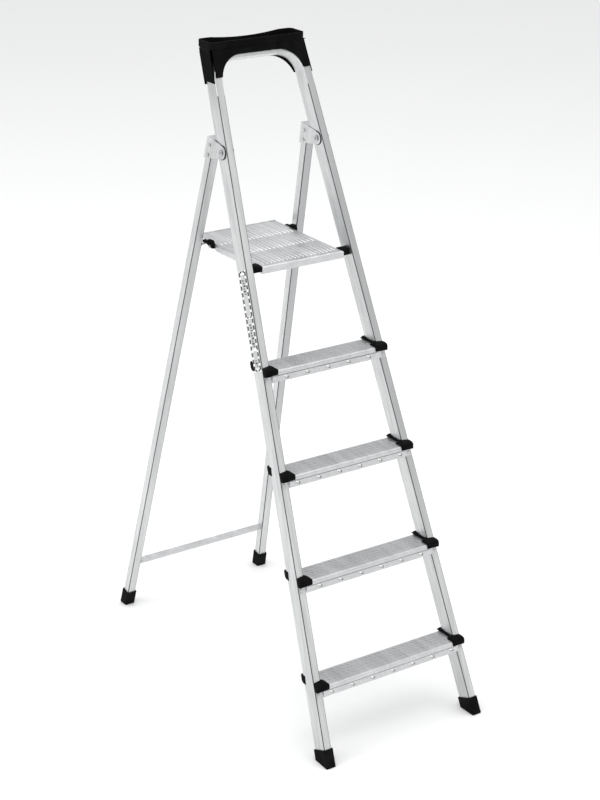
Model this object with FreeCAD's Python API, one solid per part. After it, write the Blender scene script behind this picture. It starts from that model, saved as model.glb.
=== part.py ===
import FreeCAD, Part
import math
import os
from FreeCAD import Placement, Rotation, Vector

# Folding platform step ladder, millimetres, +Z up, +Y from the climbing side to the rear frame.
# The origin is on the floor at the middle of the ladder's outline.

# Front frame: one rectangular tube bent to an inverted U that leans back and narrows upwards.
RAIL_DEPTH = 40.0
RAIL_WIDTH = 20.0
TUBE_WALL = 1.2
TUBE_CORNER = 2.0
FRONT_LEAN = math.degrees(math.atan(0.4292))
FRONT_FLOOR_HALF = 226.8
FRONT_TAPER = 0.0632
FRAME_TOP = 1670.0
BEND_RADIUS = 72.0

# Rear frame: two square tube legs that lean forward to the hinge brackets.
LEG_SIZE = 22.0
REAR_LEAN = math.degrees(math.atan(0.2416))
REAR_FLOOR_HALF = 222.4
REAR_TAPER = 0.0593
FLOOR_SPREAD = 945.2

# Rubber feet.
FOOT_WALL = 3.0
FRONT_FOOT_HEIGHT = 44.0
REAR_FOOT_HEIGHT = 40.0
SOLE = 4.0
SOLE_EDGE = 2.4

# Treads: the top of the first one, the even pitch, and the pressed channel.
TREAD_COUNT = 4
FIRST_TREAD = 178.5
TREAD_PITCH = 225.0
TREAD_NOSE = 15.0
TREAD_DEPTH = 68.0
TREAD_FRONT = 28.0
TREAD_BACK = 20.0
NOSE_BAND = 12.0
SHEET = 1.5

# Platform deck and its hinge.
DECK_TOP = 1070.5
DECK_HALF = 115.4
DECK_DEPTH = 295.0
DECK_SKIRT = 17.0
SKIRT_LENGTH = 222.0
DECK_AHEAD = 3.0
PIN_BEHIND = 18.5
PIN_BELOW = 8.6
PIN_RADIUS = 3.0

# Main hinge of the rear frame, at the middle of the rail's depth.
PIVOT_Z = 1315.5
PIVOT_RADIUS = 4.0
BRACKET_SHEET = 1.2
BRACKET_HALF = 11.6
EAR_RADIUS = 15.5
WASHER_RADIUS = 17.0
WASHER_THICK = 0.6

# Rod that carries the back of the platform.
ROD_RADIUS = 3.5
ROD_Z = 1064.0
ROD_BEHIND_LEG_FRONT = 11.0

# Tool tray cap.
CAP_WALL = 3.0
TRAY_BOTTOM = 1538.5
TRAY_HEIGHT = 16.5
TRAY_HALF = 131.5
TRAY_DEPTH = 61.0

CLEAR = 0.1
FIT = 0.05
FAR = 400.0

front_cos = math.cos(math.radians(FRONT_LEAN))
front_sin = math.sin(math.radians(FRONT_LEAN))
rear_cos = math.cos(math.radians(REAR_LEAN))
front_slope = math.tan(math.radians(FRONT_LEAN))
rear_slope = math.tan(math.radians(REAR_LEAN))
toe = FOOT_WALL / front_cos
heel = (LEG_SIZE + FOOT_WALL) / rear_cos
FRONT_Y = toe - (toe + FLOOR_SPREAD + heel) / 2.0
REAR_Y = FRONT_Y + FLOOR_SPREAD

FRONT_FRAME = Placement(Vector(0, FRONT_Y, 0), Rotation(Vector(1, 0, 0), -FRONT_LEAN))
REAR_FRAME = Placement(Vector(0, REAR_Y, 0), Rotation(Vector(1, 0, 0), REAR_LEAN))
rail_taper = FRONT_TAPER * front_cos
leg_taper = REAR_TAPER * rear_cos
rail_skew = RAIL_WIDTH / math.cos(math.atan(rail_taper))


def front_face_y(z):
    """Height above the floor to the y of the rails' front face."""
    return FRONT_Y + front_slope * z


def leg_front_y(z):
    """Height above the floor to the y of the rear legs' front face."""
    return REAR_Y - rear_slope * z


def rail_out(s):
    """Outer half width of the front frame at a distance s up the rail."""
    return FRONT_FLOOR_HALF - rail_taper * s


def leg_out(s):
    """Outer half width of the rear frame at a distance s up the leg."""
    return REAR_FLOOR_HALF - leg_taper * s


def box(x0, x1, y0, y1, z0, z1):
    return Part.makeBox(x1 - x0, y1 - y0, z1 - z0, Vector(x0, y0, z0))


def prism_x(points, x0, x1):
    """A (y, z) outline made solid from x0 to x1."""
    wire = Part.makePolygon([Vector(x0, y, z) for y, z in points + points[:1]])
    return Part.Face(wire).extrude(Vector(x1 - x0, 0, 0))


def prism_y(points, y0, y1):
    """An (x, z) outline made solid from y0 to y1."""
    wire = Part.makePolygon([Vector(x, y0, z) for x, z in points + points[:1]])
    return Part.Face(wire).extrude(Vector(0, y1 - y0, 0))


def prism_z(points, z0, z1):
    """An (x, y) outline made solid from z0 to z1."""
    wire = Part.makePolygon([Vector(x, y, z0) for x, y in points + points[:1]])
    return Part.Face(wire).extrude(Vector(0, 0, z1 - z0))


def rod_x(y, z, radius, x0, x1):
    return Part.makeCylinder(radius, x1 - x0, Vector(x0, y, z), Vector(1, 0, 0))


def mirrored(shape):
    return shape.mirror(Vector(0, 0, 0), Vector(1, 0, 0))


def placed(shape, frame):
    moved = shape.copy()
    moved.Placement = frame.multiply(moved.Placement)
    return moved


def strip(half_width, inner, outer, y0, y1, s0, s1):
    """A slab that follows a tapering face; inner and outer are measured out from half_width."""
    points = [
        (half_width(s0) + inner, s0),
        (half_width(s0) + outer, s0),
        (half_width(s1) + outer, s1),
        (half_width(s1) + inner, s1),
    ]
    return prism_y(points, y0, y1)


def between_rails(gap, s0, s1):
    """All the space between the rails' inner faces, less a gap on each side."""
    def inner(s):
        return rail_out(s) - rail_skew - gap
    points = [(-inner(s0), s0), (inner(s0), s0), (inner(s1), s1), (-inner(s1), s1)]
    return placed(prism_y(points, -FAR, FAR), FRONT_FRAME)


def arch_solid(inset, top, radius, low, y0, y1):
    """The filled shape inside a U outline with two rounded top corners."""
    skew = inset / math.cos(math.atan(rail_taper))
    corner = Vector(rail_out(top) - skew, y0, top)
    leg_line = Vector(-rail_taper, 0, 1).normalize()
    turn = math.acos(leg_line.dot(Vector(-1, 0, 0)))
    reach = radius * math.tan(turn / 2.0)
    leg_end = corner - leg_line * reach
    top_end = corner - Vector(reach, 0, 0)
    centre = top_end - Vector(0, 0, radius)
    middle = centre + (corner - centre).normalize() * radius
    foot = Vector(rail_out(low) - skew, y0, low)

    def flip(point):
        return Vector(-point.x, point.y, point.z)
    edges = [
        Part.LineSegment(foot, leg_end).toShape(),
        Part.Arc(leg_end, middle, top_end).toShape(),
        Part.LineSegment(top_end, flip(top_end)).toShape(),
        Part.Arc(flip(top_end), flip(middle), flip(leg_end)).toShape(),
        Part.LineSegment(flip(leg_end), flip(foot)).toShape(),
        Part.LineSegment(flip(foot), foot).toShape(),
    ]
    return Part.Face(Part.Wire(edges)).extrude(Vector(0, y1 - y0, 0))


def arch_bar(outer_inset, inner_inset, low, y0, y1):
    """The U-shaped bar between two insets from the frame's outer outline."""
    outer = arch_solid(outer_inset, FRAME_TOP - outer_inset, BEND_RADIUS - outer_inset, low, y0, y1)
    inner = arch_solid(inner_inset, FRAME_TOP - inner_inset, BEND_RADIUS - inner_inset,
                       low - 50.0, y0 - 5.0, y1 + 5.0)
    return outer.cut(inner)


def rivet_x(y, z, radius, head_radius, head, x0, x1):
    """A rivet along X with a domed head at each end."""
    shank = rod_x(y, z, radius, x0 - head / 2.0, x1 + head / 2.0)
    left = rod_x(y, z, head_radius, x0 - head, x0)
    right = rod_x(y, z, head_radius, x1, x1 + head)
    domes = [left.makeFillet(head * 0.6, [left.Edges[0]]), right.makeFillet(head * 0.6, [right.Edges[2]])]
    return shank.fuse(domes).removeSplitter()


def save(name, shape):
    solids = shape.Solids
    solid = solids[0] if len(solids) == 1 else Part.makeCompound(solids)
    print(name, len(solids), solid.isValid(), round(solid.Volume, 1))
    solid.exportStep(os.path.join("parts", name + ".step"))


def save_pair(name, right_shape):
    """Save a right-hand piece and its mirror image, with the side in each name."""
    save(name + "_right", right_shape)
    save(name + "_left", mirrored(right_shape))


os.makedirs("parts", exist_ok=True)

# ---- where things are ----
pivot_y = front_face_y(PIVOT_Z) + RAIL_DEPTH / 2.0 / front_cos
pivot_x = FRONT_FLOOR_HALF - FRONT_TAPER * PIVOT_Z - RAIL_WIDTH / 2.0
rod_y = leg_front_y(ROD_Z) + ROD_BEHIND_LEG_FRONT
rod_reach = math.hypot(rod_y - pivot_y, ROD_Z - PIVOT_Z)
deck_front = front_face_y(DECK_TOP) - DECK_AHEAD
pin_y = front_face_y(DECK_TOP) + PIN_BEHIND
pin_z = DECK_TOP - PIN_BELOW
tread_tops = [FIRST_TREAD + TREAD_PITCH * number for number in range(TREAD_COUNT)]


# ---- front frame tube ----
tube_end = (SOLE + RAIL_DEPTH * front_sin) / front_cos
bar = arch_bar(0.0, RAIL_WIDTH, tube_end, 0.0, RAIL_DEPTH)
long_edges = []
for edge in bar.Edges:
    depths = [vertex.Y for vertex in edge.Vertexes]
    heights = [vertex.Z for vertex in edge.Vertexes]
    on_face = max(depths) - min(depths) < 0.01
    at_end = max(heights) < tube_end + 1.0
    if on_face and not at_end:
        long_edges.append(edge)
rounded_bar = bar.makeFillet(TUBE_CORNER, long_edges)
core = arch_bar(TUBE_WALL, RAIL_WIDTH - TUBE_WALL, tube_end - 20.0, TUBE_WALL, RAIL_DEPTH - TUBE_WALL)
frame_tube = placed(rounded_bar.cut(core), FRONT_FRAME)
rail_space = placed(arch_bar(-CLEAR, RAIL_WIDTH + CLEAR, 0.0, -CLEAR, RAIL_DEPTH + CLEAR), FRONT_FRAME)

# Ear rivets go through each rail's front wall just below a tread's end cap.
EAR_DROP = 21.5
EAR_RIVET_RADIUS = 2.0
EAR_RIVET_HEAD = 4.2
ear_marks = []
for top in tread_tops:
    s = (top - EAR_DROP) / front_cos
    ear_marks.append((rail_out(s) - 8.0, s))
holes = []
for x, s in ear_marks:
    for side in (-1, 1):
        hole = Part.makeCylinder(EAR_RIVET_RADIUS + FIT, 8.0, Vector(side * x, -4.0, s), Vector(0, 1, 0))
        holes.append(placed(hole, FRONT_FRAME))
pivot_hole = rod_x(pivot_y, PIVOT_Z, PIVOT_RADIUS + FIT, pivot_x - 14.0, pivot_x + 14.0)
holes += [pivot_hole, mirrored(pivot_hole)]

# Screws of the tool tray cap go into the tube's top member.
SCREW_X = 56.0
SCREW_S = FRAME_TOP - 9.0
SCREW_RADIUS = 2.0
SCREW_HEAD = 4.5
for side in (-1, 1):
    hole = Part.makeCylinder(SCREW_RADIUS + FIT, 10.0, Vector(side * SCREW_X, -4.0, SCREW_S), Vector(0, 1, 0))
    holes.append(placed(hole, FRONT_FRAME))
save("front_frame_tube", frame_tube.cut(holes))


# ---- front feet ----
def foot_block(half_width, width, depth, height, end, frame):
    """A rubber cup round a tube's end, cut flat at the floor, on the right-hand side."""
    outside = strip(half_width, -width - FOOT_WALL, FOOT_WALL, -FOOT_WALL, depth + FOOT_WALL, -30.0, height)
    socket = strip(half_width, -width - CLEAR, CLEAR, -CLEAR, depth + CLEAR, end, height + 10.0)
    upright = [edge for edge in outside.Edges if edge.Length > 30.0 + height - 1.0]
    rounded = outside.makeFillet(FOOT_WALL * 0.9, upright)
    floor_half = box(-FAR, FAR, -2 * FAR, 2 * FAR, -FAR, 0.0)
    block = placed(rounded, frame).cut(floor_half)
    sole_edges = [edge for edge in block.Edges
                  if max(vertex.Z for vertex in edge.Vertexes) < 0.01]
    return block.makeFillet(SOLE_EDGE, sole_edges).cut(placed(socket, frame))


front_foot = foot_block(rail_out, rail_skew, RAIL_DEPTH, FRONT_FOOT_HEIGHT, tube_end, FRONT_FRAME)
save_pair("front_foot", front_foot)


# ---- treads ----
EAR_SHEET = 1.5
EAR_HEIGHT = 16.0


def tread_profile(top, inset, drop):
    """The (y, z) outline of a tread, set in by the sheet thickness for the inside."""
    y = front_face_y(top) - TREAD_NOSE
    return [
        (y + 1.0 + inset, top - TREAD_FRONT - drop),
        (y + 1.0 + inset, top - NOSE_BAND),
        (y + inset, top - NOSE_BAND + 1.0),
        (y + inset, top - inset),
        (y + TREAD_DEPTH - inset, top - inset),
        (y + TREAD_DEPTH - inset, top - TREAD_BACK - drop),
    ]


def tread_block(top, inset, drop, gap):
    """The filled tread between the rails, with a rolled nose and a softer rear edge."""
    block = prism_x(tread_profile(top, inset, drop), -FAR, FAR)
    nose = front_face_y(top) - TREAD_NOSE + inset
    upper = [edge for edge in block.Edges
             if edge.Length > FAR and edge.CenterOfMass.z > top - inset - 0.1]
    front = [edge for edge in upper if edge.CenterOfMass.y < nose + 1.0]
    block = block.makeFillet(5.0 - inset, front)
    rear = [edge for edge in block.Edges if edge.Length > FAR and edge.CenterOfMass.z > top - inset - 0.1
            and edge.CenterOfMass.y > nose + TREAD_DEPTH - 2 * inset - 1.0]
    block = block.makeFillet(3.5 - inset, rear)
    s_low = (top - 60.0) / front_cos
    s_high = (top + 60.0) / front_cos
    return block.common(between_rails(gap, s_low - 60.0, s_high + 60.0))


def tread_ears(s):
    """Two tabs folded from the end flanges on to the rails' front faces."""
    low = s - EAR_HEIGHT / 2.0
    high = s + EAR_HEIGHT / 2.0
    face = strip(rail_out, -rail_skew - SHEET - 0.2, -3.5, -EAR_SHEET - CLEAR, -CLEAR, low, high)
    root = strip(rail_out, -rail_skew - SHEET - 0.2, -rail_skew - 0.2, -EAR_SHEET - CLEAR, 6.0, low, high)
    hole = Part.makeCylinder(EAR_RIVET_RADIUS + FIT, 8.0, Vector(rail_out(s) - 8.0, -4.0, s), Vector(0, 1, 0))
    ear = placed(face.fuse(root).cut(hole), FRONT_FRAME)
    return [ear, mirrored(ear)]


tread_fill = []
for number, top in enumerate(tread_tops):
    outside = tread_block(top, 0.0, 0.0, 0.2)
    inside = tread_block(top, SHEET, 30.0, 0.2 + SHEET)
    ears = tread_ears(ear_marks[number][1])
    tread = outside.cut(inside).fuse(ears)
    save("tread_%d" % (number + 1), tread.removeSplitter())
    tread_fill.append(tread_block(top, -CLEAR, 0.0, 0.1))

rivets = []
for x, s in ear_marks:
    head = Part.makeCylinder(EAR_RIVET_HEAD, 1.6, Vector(x, -EAR_SHEET - CLEAR, s), Vector(0, -1, 0))
    head = head.makeFillet(1.0, [head.Edges[0]])
    shank = Part.makeCylinder(EAR_RIVET_RADIUS, 5.0, Vector(x, -EAR_SHEET - CLEAR - 0.5, s), Vector(0, 1, 0))
    rivet = placed(head.fuse(shank), FRONT_FRAME)
    rivets += [rivet, mirrored(rivet)]
save("tread_rivets", Part.makeCompound(rivets))


# ---- tread end caps ----
def end_cap(top, fill):
    """Black shoe round a tread's end: front block, a thin lip along the tread and a rear block."""
    y_front = front_face_y(top)
    y_rear = y_front + RAIL_DEPTH / front_cos
    s = top / front_cos
    inner = rail_out(s) - rail_skew
    elevation = [
        (inner - 13.0, top - 9.5),
        (inner - 13.0, top + 3.5),
        (inner - 1.0, top + 9.0),
        (inner + 24.0, top + 6.0),
        (inner + 24.0, top - 11.5),
    ]
    nose = y_front - TREAD_NOSE - 1.8
    side_view = [
        (nose + 1.0, top - 11.5),
        (nose, top - 8.0),
        (nose, top + 1.0),
        (nose + 3.0, top + 5.0),
        (y_front + 4.0, top + 9.0),
        (y_front + 8.0, top + 9.0),
        (y_front + 8.0, top - 11.5),
    ]
    block = prism_y(elevation, nose - 5.0, y_front + 10.0).common(prism_x(side_view, 0.0, FAR))
    lip_side = [
        (y_front - 2.0, top),
        (y_front - 2.0, top + 7.0),
        (y_front + 44.0, top + 6.0),
        (y_front + 60.0, top + 1.5),
        (y_front + 60.0, top),
    ]
    layer = between_rails(CLEAR, s - 90.0, s + 90.0).cut(between_rails(3.4, s - 91.0, s + 91.0))
    lip = prism_x(lip_side, 0.0, FAR).common(layer)
    rear_side = [
        (y_rear - 12.0, top - 12.0),
        (y_rear + 1.0, top - 12.0),
        (y_rear + 6.5, top - 8.0),
        (y_rear + 11.5, top + 4.0),
        (y_rear + 9.0, top + 8.0),
        (y_rear - 6.0, top + 8.0),
    ]
    beside_rail = strip(rail_out, -rail_skew - 3.4, 0.4, -90.0, 120.0, s - 90.0, s + 90.0)
    outer_layer = placed(beside_rail, FRONT_FRAME)
    rear = prism_x(rear_side, 0.0, FAR).common(outer_layer)
    within_rail = strip(rail_out, -60.0, 0.4, -90.0, 120.0, s - 90.0, s + 90.0)
    behind_face = strip(rail_out, -rail_skew - CLEAR, 5.0, -CLEAR, 20.0, s - 90.0, s + 90.0)
    block = block.common(placed(within_rail, FRONT_FRAME)).cut(placed(behind_face, FRONT_FRAME))
    cap = block.fuse([lip, rear]).cut(rail_space).cut(fill)
    return max(cap.Solids, key=lambda solid: solid.Volume)


for number, top in enumerate(tread_tops):
    cap = end_cap(top, tread_fill[number])
    save("tread_cap_right_%d" % (number + 1), cap)
    save("tread_cap_left_%d" % (number + 1), mirrored(cap))


# ---- tool tray cap ----
PANEL_ARCH_TOP = 1657.0
PANEL_ARCH_RADIUS = 62.0
PANEL_BOTTOM = 1479.0
REAR_PANEL_BOTTOM = 1458.0
SKIRT_BOTTOM = 1466.0
LEG_PANEL_OUTER = 3.6


def panel_with_arch(y0, y1, bottom, arch_top, arch_radius):
    """A front or rear panel of the cap with its arched lower edge, in the front frame's own axes."""
    low = bottom / front_cos - 60.0
    plate = prism_y([(-rail_out(low) - CAP_WALL, low), (rail_out(low) + CAP_WALL, low),
                     (rail_out(FRAME_TOP) + CAP_WALL, FRAME_TOP + 12.0),
                     (-rail_out(FRAME_TOP) - CAP_WALL, FRAME_TOP + 12.0)], y0, y1)
    opening = arch_solid(RAIL_WIDTH, arch_top, arch_radius, low - 20.0, y0 - 2.0, y1 + 2.0)
    trim = box(-FAR, FAR, -2 * FAR, 2 * FAR, 0.0, bottom)
    return placed(plate.cut(opening), FRONT_FRAME).cut(trim)


skirt_low = SKIRT_BOTTOM / front_cos - 40.0
front_panel = panel_with_arch(-CAP_WALL - CLEAR, -CLEAR, PANEL_BOTTOM, PANEL_ARCH_TOP, PANEL_ARCH_RADIUS)
rear_panel = panel_with_arch(RAIL_DEPTH + CLEAR, RAIL_DEPTH + CAP_WALL, REAR_PANEL_BOTTOM,
                             FRAME_TOP - RAIL_WIDTH + 1.0, PANEL_ARCH_RADIUS + 4.0)
skirt = placed(strip(rail_out, CLEAR, CAP_WALL, -CAP_WALL - CLEAR, RAIL_DEPTH + CAP_WALL,
                     skirt_low, FRAME_TOP + 20.0), FRONT_FRAME)
skirt = skirt.cut(box(-FAR, FAR, -2 * FAR, 2 * FAR, 0.0, SKIRT_BOTTOM))
slot = placed(strip(rail_out, -LEG_PANEL_OUTER, 2 * CAP_WALL, -2 * CAP_WALL, 1.6,
                    skirt_low, FRAME_TOP + 3.0), FRONT_FRAME)
shell = front_panel.fuse([rear_panel, skirt, mirrored(skirt)]).cut([slot, mirrored(slot)])
above_tray_floor = box(-FAR, FAR, -2 * FAR, 2 * FAR, TRAY_BOTTOM + 1.0, 5 * FAR)
shell = shell.cut(above_tray_floor)

tray_front = front_face_y(TRAY_BOTTOM) - 5.0
tray_rear = tray_front + TRAY_DEPTH
tray_top = TRAY_BOTTOM + TRAY_HEIGHT
tray = box(-TRAY_HALF, TRAY_HALF, tray_front, tray_rear, TRAY_BOTTOM, tray_top)
corners = [edge for edge in tray.Edges if abs(edge.Length - TRAY_HEIGHT) < 0.01]
tray = tray.makeFillet(12.0, corners)
pocket = box(-TRAY_HALF + CAP_WALL, TRAY_HALF - CAP_WALL, tray_front + CAP_WALL, tray_rear - CAP_WALL,
             TRAY_BOTTOM + CAP_WALL, tray_top + 10.0)
corners = [edge for edge in pocket.Edges if abs(edge.Length - (TRAY_HEIGHT - CAP_WALL + 10.0)) < 0.01]
pocket = pocket.makeFillet(9.0, corners)
DIP = 6.0
DIP_HALF = 95.0
dip_radius = (DIP_HALF ** 2 + DIP ** 2) / (2.0 * DIP)
dip_centre = Vector(0, tray_rear - 8.0, tray_top - DIP + dip_radius)
dip = Part.makeCylinder(dip_radius, 20.0, dip_centre, Vector(0, 1, 0))
tray = tray.cut([pocket, dip])
screw_holes = []
screws = []
for side in (-1, 1):
    hole_start = Vector(side * SCREW_X, -8.0, SCREW_S)
    hole = Part.makeCylinder(SCREW_RADIUS + FIT, 12.0, hole_start, Vector(0, 1, 0))
    screw_holes.append(placed(hole, FRONT_FRAME))
    head_start = Vector(side * SCREW_X, -CAP_WALL - CLEAR, SCREW_S)
    head = Part.makeCylinder(SCREW_HEAD, 1.8, head_start, Vector(0, -1, 0))
    head = head.makeFillet(1.0, [head.Edges[0]])
    shank_start = Vector(side * SCREW_X, -CAP_WALL - 0.6, SCREW_S)
    shank = Part.makeCylinder(SCREW_RADIUS, 9.0, shank_start, Vector(0, 1, 0))
    screws.append(placed(head.fuse(shank), FRONT_FRAME))
cap = tray.fuse(shell).cut(screw_holes).cut(rail_space).removeSplitter()
save("tool_tray_cap", max(cap.Solids, key=lambda solid: solid.Volume))
save("tray_screws", Part.makeCompound(screws))


# ---- printed strip on the left rail ----
LABEL_LOW = 930.0
LABEL_HIGH = 1166.0
label = placed(strip(rail_out, 0.02, 0.3, 4.0, 29.0, LABEL_LOW, LABEL_HIGH), FRONT_FRAME)
save("rail_label", mirrored(label))


# ---- rear legs, feet, cross bar and rod ----
LEG_TOP = 1333.0
CROSS_Z = 130.0
CROSS_SIZE = 12.0


def leg_tube():
    s0 = SOLE / rear_cos
    s1 = LEG_TOP / rear_cos
    outside = strip(leg_out, -LEG_SIZE, 0.0, 0.0, LEG_SIZE, s0, s1)
    upright = [edge for edge in outside.Edges if edge.Length > 500.0]
    outside = outside.makeFillet(TUBE_CORNER, upright)
    inside = strip(leg_out, -LEG_SIZE + TUBE_WALL, -TUBE_WALL, TUBE_WALL, LEG_SIZE - TUBE_WALL,
                   s0 - 5.0, s1 + 5.0)
    return placed(outside.cut(inside), REAR_FRAME)


leg_inner_at_rod = leg_out(ROD_Z / rear_cos) - LEG_SIZE
rod_hole = rod_x(rod_y, ROD_Z, ROD_RADIUS + FIT, leg_inner_at_rod - 10.0, leg_inner_at_rod + 12.0)
bracket_rivet_marks = []
for height in (PIVOT_Z - 17.0, PIVOT_Z + 8.0):
    bracket_rivet_marks.append((leg_front_y(height) + 11.5, height))
RIVET_RADIUS = 2.5
rivet_holes = [rod_x(y, z, RIVET_RADIUS + FIT, pivot_x - 30.0, pivot_x + 30.0)
               for y, z in bracket_rivet_marks]
save_pair("rear_leg", leg_tube().cut([rod_hole] + rivet_holes))
rear_foot = foot_block(leg_out, LEG_SIZE, LEG_SIZE, REAR_FOOT_HEIGHT, SOLE / rear_cos, REAR_FRAME)
save_pair("rear_foot", rear_foot)

cross_s = CROSS_Z / rear_cos
cross_low = cross_s - CROSS_SIZE / 2.0
cross_high = cross_s + CROSS_SIZE / 2.0
cross_end = LEG_SIZE + CLEAR


def cross_block(inset, end_gap):
    low = cross_low + inset
    high = cross_high - inset
    points = [(-leg_out(low) + cross_end - end_gap, low), (leg_out(low) - cross_end + end_gap, low),
              (leg_out(high) - cross_end + end_gap, high), (-leg_out(high) + cross_end - end_gap, high)]
    front = (LEG_SIZE - CROSS_SIZE) / 2.0
    return prism_y(points, front + inset, front + CROSS_SIZE - inset)


cross_rivet_x = leg_out(cross_s) - LEG_SIZE - 8.0
cross_front = (LEG_SIZE - CROSS_SIZE) / 2.0
cross_rivets = []
cross_holes = []
for side in (-1, 1):
    start = Vector(side * cross_rivet_x, cross_front, cross_s)
    cross_holes.append(Part.makeCylinder(RIVET_RADIUS + FIT, 6.0, start - Vector(0, 3, 0), Vector(0, 1, 0)))
    head = Part.makeCylinder(4.0, 1.4, start, Vector(0, -1, 0))
    head = head.makeFillet(0.9, [head.Edges[0]])
    shank = Part.makeCylinder(RIVET_RADIUS, 3.0, start - Vector(0, 0.5, 0), Vector(0, 1, 0))
    cross_rivets.append(placed(head.fuse(shank), REAR_FRAME))
crossbar = cross_block(0.0, 0.0).cut([cross_block(TUBE_WALL, 10.0)] + cross_holes)
save("rear_crossbar", placed(crossbar, REAR_FRAME))
save("crossbar_rivets", Part.makeCompound(cross_rivets))

rod_end = leg_inner_at_rod + 8.0
save("platform_rod", rod_x(rod_y, ROD_Z, ROD_RADIUS, -rod_end, rod_end))
BUSH_LENGTH = 4.0
bush = rod_x(rod_y, ROD_Z, 5.5, leg_inner_at_rod - BUSH_LENGTH - 0.6, leg_inner_at_rod - 0.6)
bush = bush.makeFillet(1.2, [bush.Edges[2]])
save_pair("rod_bush", bush.cut(rod_x(rod_y, ROD_Z, ROD_RADIUS + FIT, 0.0, FAR)))


# ---- hinge brackets, washers and rivets ----
def ear_point(angle):
    turn = math.radians(angle)
    return Vector(0, pivot_y + EAR_RADIUS * math.cos(turn), PIVOT_Z + EAR_RADIUS * math.sin(turn))


BRACKET_BACK = LEG_SIZE + 3.0 + BRACKET_SHEET
LID_FRONT = 33.5
bracket_top = PIVOT_Z + 26.5
bracket_low = PIVOT_Z - 27.5
bracket_reach = BRACKET_BACK / rear_cos
rear_low = Vector(0, leg_front_y(bracket_low) + bracket_reach, bracket_low)
rear_high = Vector(0, leg_front_y(bracket_top) + bracket_reach, bracket_top)
knee = Vector(0, pivot_y + 19.0, PIVOT_Z + 19.5)


def bracket_lid():
    """The folded top of the bracket, from its back to just behind the rail."""
    front_y = pivot_y + LID_FRONT
    slope = (rear_high.z - knee.z) / (rear_high.y - knee.y)
    front_z = rear_high.z + slope * (front_y - rear_high.y)
    points = [(front_y, front_z), (rear_high.y, rear_high.z),
              (rear_high.y, rear_high.z - BRACKET_SHEET), (front_y, front_z - BRACKET_SHEET)]
    return prism_x(points, 0.0, FAR)


def bracket_outline():
    """Side view of the bracket: a round ear about the pivot and a block behind the leg."""
    edges = [
        Part.Arc(ear_point(100), ear_point(180), ear_point(260)).toShape(),
        Part.LineSegment(ear_point(260), rear_low).toShape(),
        Part.LineSegment(rear_low, rear_high).toShape(),
        Part.LineSegment(rear_high, knee).toShape(),
        Part.LineSegment(knee, ear_point(100)).toShape(),
    ]
    return Part.Face(Part.Wire(edges)).extrude(Vector(FAR, 0, 0))


def pivot_strip(inner, outer):
    """A slab beside the rail at the hinge that keeps to the rail's taper."""
    def middle(z):
        return pivot_x - FRONT_TAPER * (z - PIVOT_Z)
    return strip(middle, inner, outer, pivot_y - 60.0, pivot_y + 120.0, PIVOT_Z - 60.0, PIVOT_Z + 60.0)


outline = bracket_outline()
flange_out = BRACKET_HALF + BRACKET_SHEET
flanges = [pivot_strip(BRACKET_HALF, flange_out).common(outline),
           pivot_strip(-flange_out, -BRACKET_HALF).common(outline)]
web = placed(box(0.0, FAR, BRACKET_BACK - BRACKET_SHEET, BRACKET_BACK, 1000.0, 1600.0), REAR_FRAME)
web = web.common(pivot_strip(-flange_out, flange_out)).common(outline)
lid = bracket_lid().common(pivot_strip(-flange_out, flange_out))
bracket = flanges[0].fuse([flanges[1], web, lid]).removeSplitter()
bracket = bracket.cut([rod_x(pivot_y, PIVOT_Z, PIVOT_RADIUS + 0.08, 0.0, FAR)] + rivet_holes)
save_pair("hinge_bracket", bracket)

washer_disc = rod_x(pivot_y, PIVOT_Z, WASHER_RADIUS, 0.0, FAR)
washer_hole = rod_x(pivot_y, PIVOT_Z, PIVOT_RADIUS + 0.08, 0.0, FAR)
outer_washer = pivot_strip(BRACKET_HALF - WASHER_THICK, BRACKET_HALF).common(washer_disc).cut(washer_hole)
inner_washer = pivot_strip(-BRACKET_HALF, WASHER_THICK - BRACKET_HALF).common(washer_disc).cut(washer_hole)
save_pair("pivot_washer_outer", outer_washer)
save_pair("pivot_washer_inner", inner_washer)

HEAD_GAP = 0.8
PIVOT_HEAD = 2.0
pivot_rivet = rivet_x(pivot_y, PIVOT_Z, PIVOT_RADIUS, 7.0, PIVOT_HEAD,
                      pivot_x - flange_out - HEAD_GAP, pivot_x + flange_out + HEAD_GAP)
bores = [rod_x(pivot_y, PIVOT_Z, 2.4, pivot_x + flange_out + 1.0, FAR),
         rod_x(pivot_y, PIVOT_Z, 2.4, 0.0, pivot_x - flange_out - 1.0)]
save_pair("pivot_rivet", pivot_rivet.cut(bores))

bracket_rivets = []
for y, z in bracket_rivet_marks:
    middle = pivot_x - FRONT_TAPER * (z - PIVOT_Z)
    reach = flange_out + 0.35
    bracket_rivets.append(rivet_x(y, z, RIVET_RADIUS, 4.5, 1.4, middle - reach, middle + reach))
save_pair("bracket_rivets", Part.makeCompound(bracket_rivets))


# ---- platform ----
def rod_sweep(room, x0, x1):
    """The space that the rod passes through as the rear frame folds, with room round it."""
    keep = rod_x(pivot_y, PIVOT_Z, rod_reach - ROD_RADIUS - room, x0, x1)
    ring = rod_x(pivot_y, PIVOT_Z, rod_reach + 40.0, x0, x1).cut(keep)
    ring = ring.common(box(x0, x1, rod_y - 60.0, rod_y, ROD_Z - 60.0, ROD_Z + 60.0))
    return ring.fuse(rod_x(rod_y, ROD_Z, ROD_RADIUS + room, x0, x1))


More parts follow.
